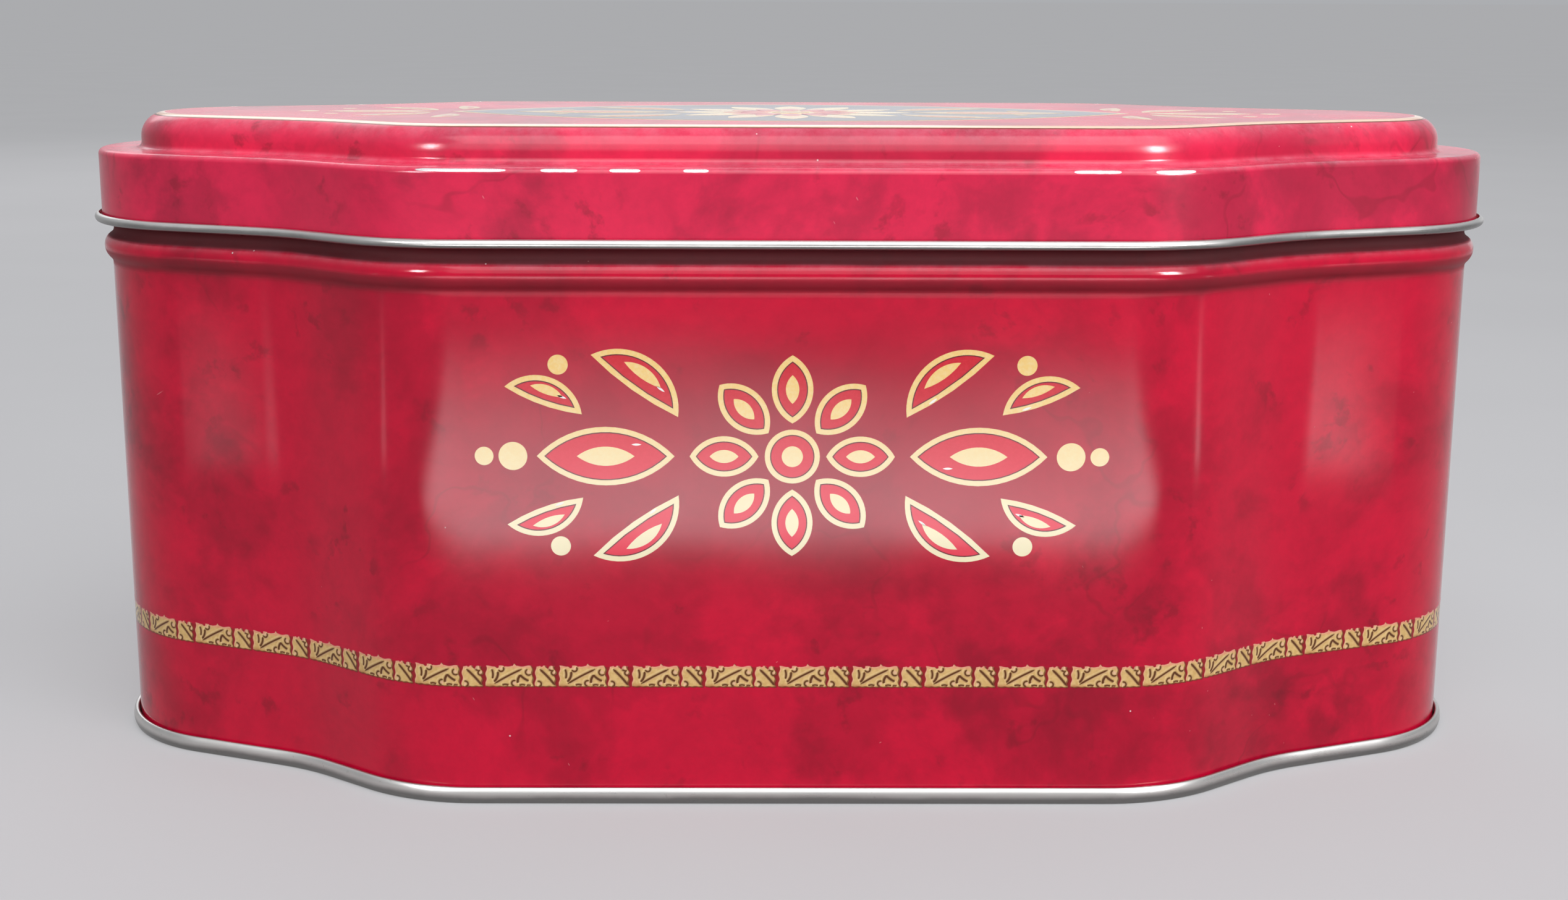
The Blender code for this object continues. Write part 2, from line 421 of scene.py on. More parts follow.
def varnish(shader, place, colour, haze=0.07, painted_shade=0.0):
    """Finish a printed surface: its colour under gloss varnish, with dust and scratches, and rougher
    where shade is painted.
    """
    marks = use_group(dust, {"Vector": place})
    colour = tint(colour, (0.75, 0.42, 0.42, 1), marks["Scratches"], 0.35)
    colour = tint(colour, (0.85, 0.74, 0.74, 1), marks["Specks"], 0.8)
    rough = maths("MULTIPLY_ADD", noise(place, 38, 4, 0.6), 0.10, haze)
    # Where shade is painted the varnish is rougher, which dulls its highlights there.
    rough = maths("MULTIPLY_ADD", painted_shade, 0.65, rough)
    worn = times(largest(marks["Specks"], marks["Scratches"]), 0.4)
    height = use_group(waviness, {"Vector": place})["Height"]
    dress_shader(shader, colour, maths("ADD", rough, worn), height)


def marbled(place, ground=crimson, cloud=maroon, patches=0.44):
    """The marbled crimson ground of the prints."""
    look = {"Vector": place, "Ground": ground, "Cloud": cloud, "Vein": dark_vein, "Patches": patches}
    return use_group(marbling, look)["Color"]


def dust_and_sheen(place, colour, share):
    """A colour paled where the sheet faces up, by settled dust and by a painted sheen of the light
    from above.
    """
    # Dust and painted sheen together, in patches, on what faces up.
    upward_pale = times(fade(facing_up(place), 0.2, 1.0), fade(noise(place, 210, 6, 0.75), 0.2, 0.8))
    return tint(colour, (0.86, 0.50, 0.60, 1), upward_pale, share)


# Heights of the painted shade under the lid's curl and under the rib, given up from the rib's crest.
neck_painted_shade = (0.0015, 0.0021, 0.0052, 0.0065)
rib_painted_shade = (-0.0036, -0.0022, -0.0006, 0.0001)


def painted_shade_of(place):
    """Painted shade round the neck, where the lid's curl casts its shadow, and less of it under the
    rib.

    Where each begins, is full, thins and ends is given upwards from the rib's crest.
    """
    wander = times(noise(place, 60, 3), 0.0004)
    height = maths("ADD", axes_of(place)[2], wander)
    neck = window(height, *(rib_crest_z + rise for rise in neck_painted_shade))
    under_rib = window(height, *(rib_crest_z + rise for rise in rib_painted_shade))
    return largest(neck, times(under_rib, 0.55))


ornament_z = 0.0585
shade_half_length = 0.060
shade_half_height = 0.0225


def lacquer_material(name):
    """Marbled crimson lacquer under gloss varnish, darker behind the ornament on the front, with
    painted shade under the lid's curl and the rib.
    """
    material, shader, place = new_material(name)
    centred = {"Vector": place, "Location": (0, 0, ornament_z),
               "Scale": (shade_half_length, 1, shade_half_height)}
    centred = add_node("Mapping", centred, vector_type="TEXTURE").outputs[0]
    reach = vector_maths("LENGTH", vector_maths("MULTIPLY", centred, (1, 0, 1)))
    reach = maths("ADD", reach, times(noise(place, 90, 4), 0.3))
    front = maths("LESS_THAN", axes_of(place)[1], 0.0)
    shade = times(fade(reach, 1.35, 0.70), front, 0.62)
    printed = mix(shade, marbled(place), (0.27, 0.0050, 0.019, 1))
    # Settled dust and a painted sheen on the wall's upward faces, such as the rib's top.
    printed = dust_and_sheen(place, printed, 0.30)
    # Painted shade: the lacquer is darkened, and its varnish made rougher, under the lid's curl and
    # the rib.
    painted_shade = painted_shade_of(place)
    printed = tint(printed, (0.070, 0.0020, 0.004, 1), painted_shade, 0.88)
    varnish(shader, place, printed, painted_shade=painted_shade)
    return material


def tin_material(name, shade_heights):
    """Bare bright tinplate, with painted shade towards its lowest edge."""
    material, shader, place = new_material(name, specular=0.5, metallic=1.0)
    surface = use_group(bare_tin, {"Vector": place, **shade_heights})
    dress_shader(shader, surface["Color"], surface["Roughness"], surface["Height"])
    return material


def s_curve(height, reach, fillet):
    """Angle and crest radius of the S that leaves a straight by reach over height."""
    angle = 2 * atan2(reach, height)
    return angle, height / sin(angle) - fillet


# Painted shade on the hem's foot: full below the lower height, gone above the higher.
hem_shade_heights = {"Shade Clear Above": 0.0021, "Shade Full Below": 0.0010}
red_lacquer = lacquer_material("red_lacquer")
bare_tinplate = tin_material("bare_tinplate", hem_shade_heights)
lower_turn, lower_crest = s_curve(rib_height / 2, rib_reach, rib_fillet)
upper_turn, upper_crest = s_curve(rib_height / 2, rib_reach + neck_inset, rib_fillet)
wall_moves = [(rib_crest_z - rib_height / 2 - foot_z, 0),
              (rib_fillet, -lower_turn),
              (lower_crest, lower_turn),
              (upper_crest, upper_turn),
              (rib_fillet, -upper_turn),
              (rim_top_z - rim_curl / 2 - rib_crest_z - rib_height / 2, 0),
              (rim_curl / 2 - sheet, -rim_turn)]
wall = sweep_sheet("tin_wall", 0, foot_z, pi / 2, wall_moves, red_lacquer, bare_tinplate)
give_thickness(wall, sheet, turned=True)
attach(wall, "tin_body")
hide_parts("body_wall")

# Gold band. A border of small leaf tiles, a long one and a short one by turns, printed in
# gold round the foot of the wall. It is a film of ink on the lacquer.
print_lift = 0.000012
print_film = 0.00005
band_bottom_z = 0.01975
band_height = 0.0042
band_repeats = 47
first_tile_run = -0.0021


def plan_run(x, y):
    """Signed run along the plan, rightwards from the middle of the front bay to this point."""
    point = Vector((abs(x), -abs(y)))
    place, heading, run = Vector((0, -wall_half_depth)), Vector((1, 0)), 0
    for size, turn in plan_moves():
        if turn == 0:
            along = (point - place).dot(heading)
            length = size
        else:
            side = copysign(1, turn)
            centre = place + size * side * Vector((-heading.y, heading.x))
            arm, reach = place - centre, point - centre
            along = size * side * atan2(arm.x * reach.y - arm.y * reach.x, arm.dot(reach))
            length = size * abs(turn)
        if along <= length:
            run += along
            break
        run += length
        if turn == 0:
            place = place + size * heading
        else:
            place = centre + Matrix.Rotation(turn, 2) @ arm
            heading = Matrix.Rotation(turn, 2) @ heading
    half_way = sum(size * abs(turn) if turn else size for size, turn in plan_moves())
    run = 2 * half_way - run if y > 0 else run
    return copysign(run, x)


def stroke_group():
    """A tapered pen stroke along an arc, with a soft shade beside it. Sizes are in millimetres."""
    inputs = {"Vector": "Vector", "Centre": "Vector", "Radius": "Float", "Heading": "Vector",
              "Opening": "Float", "Width": "Float"}
    group, given, result = new_group("pen stroke", inputs, {"Line": "Float", "Shade": "Float"})
    arm = vector_maths("SUBTRACT", given["Vector"], given["Centre"])
    reach = vector_maths("LENGTH", arm)
    ahead = maths("DIVIDE", vector_maths("DOT_PRODUCT", arm, given["Heading"]), reach)
    inside = maths("SUBTRACT", ahead, given["Opening"])
    room = maths("SUBTRACT", 1.0, given["Opening"])
    taper = maths("MULTIPLY", maths("DIVIDE", inside, room), 2.5, clamp=True)
    half_width = times(taper, given["Width"], 0.5)
    beyond = maths("SUBTRACT", apart(reach, given["Radius"]), half_width)
    drawn = maths("MULTIPLY", taper, 5.0, clamp=True)
    for output, start, end in (("Line", 0.06, -0.05), ("Shade", 0.30, -0.04)):
        link(times(fade(beyond, start, end), drawn), result[output])
    return group


def arc_stroke(start, end, bow, width):
    """A stroke as the arc between two points, bowed to the left of its way."""
    start, end = Vector(start), Vector(end)
    way = (end - start).normalized()
    side = copysign(1, bow) * Vector((-way.y, way.x))
    half = (end - start).length / 2
    radius = (half ** 2 + bow ** 2) / (2 * abs(bow))
    centre = (start + end) / 2 + (abs(bow) - radius) * side
    return {"Centre": (*centre, 0), "Radius": radius, "Heading": (*side, 0), "Width": width,
            "Opening": cos(atan2(half, radius - abs(bow)))}


def bead_stroke(x, y, radius, heading):
    """The dark arc on one side of a bead."""
    way = radians(heading)
    return {"Centre": (x, y, 0), "Radius": radius, "Heading": (cos(way), sin(way), 0),
            "Opening": cos(radians(110)), "Width": 0.24}


def wavy_edge(across, middle, swing, wave, shift):
    """The line of a ragged edge: its middle, moved by a sine along the other axis."""
    angle = maths("MULTIPLY_ADD", across, 2 * pi / wave, shift)
    return maths("MULTIPLY_ADD", maths("SINE", angle), swing, middle)


def past_edge(value, edge):
    """1 where the value is past the edge, with a soft rim."""
    return fade(maths("SUBTRACT", value, edge), -0.05, 0.05)


def near_spot(vector, x, y, radius, softness=0.10):
    """A soft-edged round spot."""
    reach = vector_maths("DISTANCE", vector, (x, y, 0))
    return fade(reach, radius + softness / 2, radius - softness / 2)


# Strokes are (start, end, bow, width), beads are (x, y, radius, heading of the dark side in
# degrees) and notches are (x, y, radius), in millimetres from the long tile's foot.
leaf_strokes = [((1.05, 3.20), (1.12, 1.55), 0.17, 0.275), ((2.06, 2.80), (1.36, 1.00), 0.24, 0.341),
                ((1.40, 0.66), (6.05, 3.20), 0.10, 0.275), ((5.28, 0.80), (5.80, 2.18), 0.20, 0.363),
                ((5.62, 2.26), (7.10, 1.16), -0.12, 0.341), ((8.86, 3.22), (11.38, 0.38), 0.10, 0.341),
                ((2.72, 0.42), (3.78, 0.42), 0.16, 0.242), ((5.50, 0.40), (6.50, 0.40), 0.15, 0.220),
                ((6.72, 0.40), (7.40, 0.36), 0.10, 0.176)]
tile_beads = [(2.60, 3.22, 0.43, 300), (7.08, 2.66, 0.50, 215), (4.72, 0.78, 0.45, 165),
              (10.76, 3.36, 0.40, 190), (11.22, 2.56, 0.42, 200), (8.66, 0.66, 0.45, 10)]
tile_notches = [(1.98, 3.62, 0.27), (3.20, 3.80, 0.20), (9.22, 3.84, 0.26), (10.22, 3.52, 0.27)]
tile_repeat = 11.96
spike_along = 4.80


def leaf_tiles_group():
    """The two gold tiles of the border, a long one and a short one, drawn in millimetres."""
    outputs = {"Tile": "Float", "Line": "Float", "Shade": "Float", "Bead": "Float"}
    group, given, result = new_group("leaf tiles", {"Vector": "Vector"}, outputs)
    spot = given["Vector"]
    axes = axes_of(spot)
    along, rise = axes[0], axes[1]
    spike = times(fade(apart(along, spike_along), 0.30, 0.0), 0.34)
    top = maths("ADD", wavy_edge(along, 3.70, 0.09, 2.3, 0.9), spike)
    foot = wavy_edge(along, 0.16, 0.05, 1.15, 0.5)
    upright = times(past_edge(top, rise), past_edge(rise, foot))
    lean = times(rise, 0.05)
    tiles = []
    for start, end, left_wave, right_wave in ((0.02, 7.86, 1.75, 1.45), (8.10, 11.50, 1.9, 1.3)):
        left = maths("ADD", wavy_edge(rise, start, 0.11, left_wave, 2.4), lean)
        right = maths("SUBTRACT", wavy_edge(rise, end, 0.10, right_wave, 1.0), lean)
        tiles.append(times(past_edge(along, left), past_edge(right, along)))
    tile = times(largest(*tiles), upright)
    for notch in tile_notches:
        tile = times(tile, maths("SUBTRACT", 1.0, near_spot(spot, *notch)))
    beads = [near_spot(spot, x, y, radius) for x, y, radius, _ in tile_beads]
    hearts = [near_spot(spot, x, y, 0.6 * radius, 0.22) for x, y, radius, _ in tile_beads]
    stroke = stroke_group()
    drawn = [arc_stroke(*arc) for arc in leaf_strokes] + [bead_stroke(*bead) for bead in tile_beads]
    marks = [use_group(stroke, {"Vector": spot, **arc}) for arc in drawn]
    link(largest(tile, *beads), result["Tile"])
    link(largest(*hearts), result["Bead"])
    for output in ("Line", "Shade"):
        link(largest(*(mark[output] for mark in marks)), result[output])
    return group


def gold_band_material():
    """Gold tiles, drawn to look embossed, on the marbled ground. The UV map follows the band."""
    material, shader, place = new_material("gold_band")
    axes = axes_of(add_node("UVMap", {}, tree=place.id_data, uv_map="band").outputs[0])
    along = times(maths("FRACT", axes[0]), tile_repeat)
    rise = times(axes[1], band_height / 0.001)
    spot = add_node("CombineXYZ", {0: along, 1: rise}).outputs[0]
    drawing = leaf_tiles_group()
    tiles = use_group(drawing, {"Vector": spot})
    raised, sunk = (use_group(drawing, {"Vector": vector_maths("ADD", spot, shift)})
                    for shift in ((-0.14, 0.12, 0), (0.20, -0.15, 0)))
    flecks = fade(noise(place, 1400, 3, 0.6), 0.3, 0.7)
    gold = mix(flecks, (0.78, 0.54, 0.22, 1), (0.68, 0.43, 0.15, 1))
    top = fade(rise, 3.05, 3.65)
    corner = times(fade(rise, 1.0, 0.1), fade(along, 2.7, 0.8))
    foot = fade(rise, 0.42, 0.12)
    rim = maths("SUBTRACT", 1.0, raised["Tile"])
    dark_rim = maths("SUBTRACT", 1.0, sunk["Tile"])
    for mask, strength, paint in ((top, 0.55, (0.86, 0.25, 0.22, 1)),
                                  (corner, 0.75, (0.46, 0.13, 0.045, 1)),
                                  (foot, 0.55, (0.28, 0.05, 0.015, 1)),
                                  (tiles["Bead"], 0.7, (0.84, 0.50, 0.36, 1)),
                                  (sunk["Shade"], 0.45, (0.95, 0.74, 0.40, 1)),
                                  (raised["Line"], 0.65, (0.95, 0.70, 0.42, 1)),
                                  (tiles["Shade"], 0.75, (0.36, 0.16, 0.03, 1)),
                                  (tiles["Line"], 0.92, (0.085, 0.016, 0.002, 1)),
                                  (rim, 0.7, (0.90, 0.42, 0.30, 1)),
                                  (dark_rim, 0.85, (0.17, 0.040, 0.010, 1))):
        gold = tint(gold, paint, mask, strength)
    between = window(rise, 0.1, 0.4, 3.4, 3.75)
    ground = tint(marbled(place), (0.24, 0.016, 0.012, 1), between, 0.7)
    ground = tint(ground, (0.17, 0.010, 0.008, 1), raised["Tile"], 0.7)
    varnish(shader, place, mix(tiles["Tile"], ground, gold))
    return material


def map_band(piece):
    """Map the band: across it in repeats of the border, and from 0 to 1 up its height."""
    layer = piece.data.uv_layers.new(name="band")
    repeat = 2 * plan_run(0.0, wall_half_depth) / band_repeats
    for face in piece.data.polygons:
        for corner in face.loop_indices:
            place = piece.data.vertices[piece.data.loops[corner].vertex_index].co
            run = copysign(plan_run(abs(place.x), place.y), face.center.x)
            rise = (place.z - band_bottom_z) / band_height
            layer.data[corner].uv = ((run - first_tile_run) / repeat, rise)


band = sweep_sheet("gold_band", print_lift, band_bottom_z, pi / 2, [(band_height, 0)],
                   gold_band_material())
give_thickness(band, print_film)
map_band(band)
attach(band, "tin_body")

# Front ornament. A generic rosette with leaf sprays, printed on the flat bay in cream, brown
# and red. Each colour is its own film of ink, laid over the last.
ink_step = 0.000012


def inset_blade(length, left_turn, right_turn, inset):
    """A blade's chord and turns once both its edges are drawn in by the inset.

    A blade is the shape between two arcs from its root to its tip. Each turn is its arc's,
    and is negative on the hollow side of a crescent. Returns the chord's start, its shift to
    the left, its length and the two turns.
    """
    circles = []
    for turn, side in ((left_turn, 1), (right_turn, -1)):
        radius = length / (2 * sin(abs(turn) / 2))
        bulge = copysign(1, turn)
        circles.append((-side * bulge * radius * cos(turn / 2), radius - bulge * inset, bulge))
    (first, first_radius, first_bulge), (second, second_radius, second_bulge) = circles
    shift = ((first_radius ** 2 - second_radius ** 2 - first ** 2 + second ** 2)
             / (2 * (second - first)))
    half = sqrt(first_radius ** 2 - (shift - first) ** 2)
    turns = (2 * first_bulge * asin(half / first_radius),
             2 * second_bulge * asin(half / second_radius))
    return length / 2 - half, shift, 2 * half, turns


blade_step = radians(6)
disc_corners = 48


def draw_blade(name, centre, face, root, heading, length, left_turn, right_turn, inset=0.0):
    """One flat blade on a face: root and heading are on the face, from its centre."""
    across, up = face
    axis = across.cross(up)
    start, shift, chord, turns = inset_blade(length, left_turn, right_turn, inset)
    ahead = cos(heading) * across + sin(heading) * up
    left = axis.cross(ahead)
    place = centre + root[0] * across + root[1] * up + start * ahead + shift * left
    piece = start_point(name, place)
    for way, turn in ((1, turns[0]), (-1, turns[1])):
        entry = Matrix.Rotation(turn / 2, 3, axis) @ (way * ahead)
        radius = chord / (2 * sin(abs(turn) / 2))
        bend(place, entry, axis, [(radius, -turn)], blade_step)
        place = place + way * chord * ahead
    bpy.ops.mesh.select_all(action="SELECT")
    bpy.ops.mesh.remove_doubles(threshold=weld)
    bpy.ops.mesh.select_all(action="SELECT")
    bpy.ops.mesh.edge_face_add()
    bpy.ops.object.mode_set(mode="OBJECT")
    return piece


def draw_disc(name, centre, face, middle, radius):
    """One flat disc on a face."""
    across, up = face
    place = centre + middle[0] * across + middle[1] * up
    turn = across.cross(up).to_track_quat("Z", "Y").to_euler()
    bpy.ops.object.select_all(action="DESELECT")
    bpy.ops.mesh.primitive_circle_add(vertices=disc_corners, radius=radius, fill_type="NGON",
                                      location=place, rotation=turn)
    return name_piece(name)


def finish_film(name, parts, axis, material, body):
    """Face flat shapes outwards, join them into one print film and give it thickness."""
    for part in parts:
        if part.data.polygons[0].normal.dot(axis) < 0:
            bpy.context.view_layer.objects.active = part
            edit_all()
            bpy.ops.mesh.flip_normals()
            bpy.ops.object.mode_set(mode="OBJECT")
    bpy.ops.object.select_all(action="DESELECT")
    for part in parts:
        part.select_set(True)
    bpy.context.view_layer.objects.active = parts[0]
    bpy.ops.object.join()
    film = bpy.context.object
    film.name = name
    film.data.materials.append(material)
    thicken(film, print_film)
    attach(film, body)


def print_layer(where, name, level, inset, material, blades, discs=()):
    """One colour of an ornament: every blade and disc, drawn in by the inset."""
    centre, face, body, slot = where
    axis = face[0].cross(face[1])
    spot = centre + (print_lift + level * ink_step) * axis
    parts = [draw_blade(name, spot, face, *blade, inset=inset) for blade in blades]
    parts += [draw_disc(name, spot, face, middle, radius - inset) for middle, radius in discs]
    finish_film(name, parts, axis, material, body)


def spray(leaves, berries):
    """Blades and discs on both sides of the middle line, and again on the left.

    A leaf is its root's x and y, its heading, its length and the turns of its left and right
    edges. A berry is x, y and radius. Angles are in degrees.
    """
    blades, discs = [], []
    for x, y, heading, length, *turns in leaves:
        heading, left, right = (radians(angle) for angle in (heading, *turns))
        blades.append(((x, y), heading, length, left, right))
        if y:
            blades.append(((x, -y), -heading, length, right, left))
    for x, y, radius in berries:
        discs += [((x, side), radius) for side in ((y, -y) if y else (y,))]
    left_blades = [((-x, y), pi - heading, length, right, left)
                   for (x, y), heading, length, left, right in blades]
    return blades + left_blades, discs + [((-x, y), radius) for (x, y), radius in discs]


def rosette(count, root_radius, length, degrees):
    """Blades set round a centre, in the form that draw_blade takes."""
    turn = radians(degrees)
    ways = [2 * pi * petal / count for petal in range(count)]
    return [((root_radius * cos(way), root_radius * sin(way)), way, length, turn, turn)
            for way in ways]


def point_along(root, heading, ahead, aside):
    """The point that is ahead of a root, and aside to the left."""
    return (root[0] + ahead * cos(heading) - aside * sin(heading),
            root[1] + ahead * sin(heading) + aside * cos(heading))


def ribs_of(blades, size, slimness):
    """A slimmer blade along the middle of each blade."""
    ribs = []
    for root, heading, length, left_turn, right_turn in blades:
        aside = length / 4 * (tan(left_turn / 4) - tan(right_turn / 4))
        root = point_along(root, heading, length * (1 - size) / 2, aside)
        bow, swell = (left_turn - right_turn) / 2, slimness * (left_turn + right_turn) / 2
        ribs.append((root, heading, size * length, swell + size * bow, swell - size * bow))
    return ribs


def glints_of(blades, length):
    """A short fleck beside the root of each blade, where light would catch it."""
    turn = radians(50)
    flecks = []
    for root, heading, blade_length, _, right_turn in blades:
        aside = -0.20 * blade_length * tan(right_turn / 4)
        root = point_along(root, heading, 0.24 * blade_length, aside)
        flecks.append((root, heading, length, turn, turn))
    return flecks


ornament_top_z = ornament_z + 0.0155
ornament_foot_z = ornament_z - 0.0145


def ink_material(name, high, low=None):
    """Ink that shades from one colour at its top to another at its foot. The red ink's lighter foot is
    a painted reflection.
    """
    low = low or high
    material, shader, place = new_material(name)
    colour = mix(fade(axes_of(place)[2], ornament_foot_z, ornament_top_z), low, high)
    speckle = fade(noise(place, 1700, 3, 0.7), 0.35, 0.7)
    varnish(shader, place, tint(colour, low, speckle, 0.25))
    return material


leaf_blades, berry_discs = spray([(0.0188, 0.0, 0, 0.0220, 94, 94),
                                  (0.0182, 0.0064, 36, 0.0170, 124, 20),
                                  (0.0335, 0.0068, 20, 0.0130, 124, 26)],
                                 [(0.0446, 0.0, 0.0023), (0.0492, 0.0, 0.0015),
                                  (0.0372, 0.0148, 0.0016)])
front_blades = rosette(8, 0.0054, 0.0110, 124) + leaf_blades
front_eye = [((0, 0), 0.0044)]
eye_heart = [((0, 0), 0.0017)]
outline, keyline = 0.00085, 0.00018
cream_ink = ink_material("cream_ink", (0.88, 0.60, 0.20, 1), (0.92, 0.84, 0.56, 1))
brown_ink = ink_material("brown_ink", (0.12, 0.008, 0.012, 1))
# The red ink lightens towards its foot: a painted reflection over the printed red.
red_ink_and_reflection = ink_material("red_ink_and_reflection", (0.58, 0.006, 0.020, 1), (0.78, 0.030, 0.070, 1))
white_ink = ink_material("white_ink", (0.92, 0.90, 0.86, 1))
on_bay = (Vector((0, -wall_half_depth, ornament_z)), (Vector((1, 0, 0)), Vector((0, 0, 1))),
          "tin_body", "red_lacquer")
for layer in (("ornament_outline", 0, 0.0, cream_ink, front_blades, berry_discs + front_eye),
              ("ornament_keyline", 1, outline, brown_ink, front_blades, front_eye),
              ("ornament_fill", 2, outline + keyline, red_ink_and_reflection, front_blades, front_eye),
              ("ornament_ribs", 3, 0.0, cream_ink, ribs_of(front_blades, 0.42, 0.8), eye_heart),
              ("ornament_glints", 3, 0.0, white_ink, glints_of(leaf_blades, 0.0016))):
    print_layer(on_bay, *layer)

# Lock seam. The wall's two ends are hooked together and pressed flat at the back. The fold
# lies inside, and outside it shows as a fine line between narrow unprinted margins.
seam_width = 0.005
seam_fold = 0.0006
seam_end = 0.003
hem_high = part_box("bottom_plate")[1]
fold_bottom_z = hem_high.z + seam_end - sheet
fold_top_z = rib_crest_z - rib_height / 2 - seam_end
fold_inner_y = wall_half_depth - sheet - seam_fold
fold_middle = (0, fold_inner_y + seam_fold / 2, (fold_bottom_z + fold_top_z) / 2)
fold_size = (seam_width, seam_fold, fold_top_z - fold_bottom_z)
bpy.ops.object.select_all(action="DESELECT")
bpy.ops.mesh.primitive_cube_add(size=1, location=fold_middle, scale=fold_size)
seam = name_piece("seam_fold")
edit_all()
bpy.ops.mesh.bevel(offset=seam_fold / 3, segments=3, affect="EDGES")
bpy.ops.object.mode_set(mode="OBJECT")
smooth()
seam.data.materials.append(bare_tinplate)
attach(seam, "tin_body")

margin_width = 0.0018
bare_edge = (0.00072, 0.00062)
crease_edge = (0.00014, 0.00005)


def seam_margin_material():
    """Unprinted tin on each side of the seam's fine dark line, ragged against the lacquer."""
    material, shader, place = new_material("seam_margin")
    off_line = maths("ABSOLUTE", axes_of(place)[0])
    ragged = times(noise(place, 1200, 3), 0.0002)
    bare = fade(maths("ADD", off_line, ragged), *bare_edge)
    crease = fade(off_line, *crease_edge)
    surface = use_group(bare_tin, {"Vector": place, **hem_shade_heights})
    colour = mix(bare, marbled(place), surface["Color"])
    varnish(shader, place, mix(crease, colour, (0.03, 0.02, 0.02, 1)))
    metal = times(bare, maths("SUBTRACT", 1.0, crease))
    link(metal, shader.inputs["Metallic"])
    return material


hem_height = 0.0028
margin_foot = Vector((-margin_width / 2, wall_half_depth + print_lift + ink_step, hem_height))
margin_moves = [(rib_crest_z - rib_height / 2 - hem_height, 0)] + wall_moves[1:5]
margin = start_point("seam_margin", margin_foot)
bend(margin_foot, (0, 0, 1), (1, 0, 0), margin_moves, section_turn)
bpy.ops.mesh.select_all(action="SELECT")
bpy.ops.mesh.extrude_region_move(TRANSFORM_OT_translate={"value": (margin_width, 0, 0)})
bpy.ops.object.mode_set(mode="OBJECT")
finish_film("seam_margin", [margin], Vector((0, 1, 0)), seam_margin_material(), "tin_body")

# Bottom plate. Pressed from bare tinplate, with a stepped panel and a countersink. Its edge
# is folded up round the wall's foot, and shows outside as the bright bulged hem.
hem_reach = hem_high.x - wall_half_length
hem_bulge_angle = radians(24)
hem_bend = 0.0005
hem_fold = 0.0004
hem_hook = 0.0012
panel_rise = 0.0032
panel_bend = 0.0006
panel_border = 0.005
panel_step = hem_high.z - sheet - panel_rise
panel_step_angle = radians(40)
panel_step_bend = 0.001
chuck_face = -(sheet + gap + sheet)
hem_bulge = ((hem_height - (hem_bend + hem_fold) * (1 - sin(hem_bulge_angle)))
             / (2 * sin(hem_bulge_angle)))
hem_flat = (hem_reach - hem_bulge * (1 - cos(hem_bulge_angle))
            - hem_bend * cos(hem_bulge_angle) - chuck_face - hem_bend)
step_height = panel_step - 2 * panel_step_bend * (1 - cos(panel_step_angle))
step_slope = step_height / sin(panel_step_angle)
step_run = 2 * panel_step_bend * sin(panel_step_angle) + step_slope * cos(panel_step_angle)
plate_moves = [(panel_step_bend, -panel_step_angle),
               (step_slope, 0),
               (panel_step_bend, panel_step_angle),
               (panel_border, 0),
               (panel_bend, -pi / 2),
               (panel_rise - panel_bend - hem_bend, 0),
               (hem_bend, pi / 2),
               (hem_flat, 0),
               (hem_bend, pi / 2 - hem_bulge_angle),
               (hem_bulge, 2 * hem_bulge_angle),
               (hem_fold, pi - hem_bulge_angle),
               (hem_hook, 0)]
panel_z = panel_rise + panel_step
panel_edge = chuck_face - panel_bend - panel_border - step_run


def close_panel(piece, z):
    """Fill the flat panel inside the edge that the sweep left open at this height."""
    near = 0.000001
    rim_width = 0.0008
    bpy.ops.object.mode_set(mode="EDIT")
    bpy.ops.mesh.select_all(action="DESELECT")
    bpy.ops.object.mode_set(mode="OBJECT")
    for vertex in piece.data.vertices:
        vertex.select = abs(vertex.co.z - z) < near
    bpy.ops.object.mode_set(mode="EDIT")
    bpy.ops.mesh.select_mode(type="VERT")
    bpy.ops.mesh.edge_face_add()
    bpy.ops.mesh.inset(thickness=rim_width)
    bpy.ops.object.mode_set(mode="OBJECT")


plate = sweep_sheet("tin_bottom", panel_edge, panel_z, 0, plate_moves, bare_tinplate)
close_panel(plate, panel_z)
give_thickness(plate, sheet)
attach(plate, "tin_body")
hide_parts("bottom_plate")

# Lid. Drawn from one printed sheet: a raised flat panel, a shoulder and a skirt, whose edge
# is rolled outwards so that its bare inner face shows as a bright ring.
lid_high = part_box("lid")[1]
lid_curl = 0.00155
lid_curl_turn = radians(265)
skirt_face = lid_high.x - wall_half_length - lid_curl + sheet
skirt_depth = 0.0126
shoulder_z = 0.1044
shoulder_width = 0.0073
shoulder_radius = 0.001
plateau_edge_radius = 0.0042
plateau_foot_radius = 0.001
plateau_rise = lid_high.z - shoulder_z
plateau_flat = skirt_face - shoulder_width - plateau_edge_radius
curl_z = shoulder_z - skirt_depth + lid_curl / 2
# Painted shade on the lower half of the lid's curl.
curl_shade_heights = {"Shade Clear Above": curl_z + 0.0007, "Shade Full Below": curl_z - 0.0002}
lid_moves = [(plateau_edge_radius, -pi / 2),
             (plateau_rise - plateau_edge_radius - plateau_foot_radius, 0),
             (plateau_foot_radius, pi / 2),
             (shoulder_width - plateau_foot_radius - shoulder_radius, 0),
             (shoulder_radius, -pi / 2),
             (shoulder_z - shoulder_radius - curl_z, 0),
             (lid_curl / 2 - sheet, lid_curl_turn)]
rubbed_edge = (-0.0009, -0.0005, -0.0004, 0.0)
rubbed_stretches = [(-0.0608, -0.0425), (-0.0400, -0.0326), (-0.0292, -0.0231), (-0.0176, -0.0126),
                    (0.0425, 0.0518), (0.0553, 0.0637)]


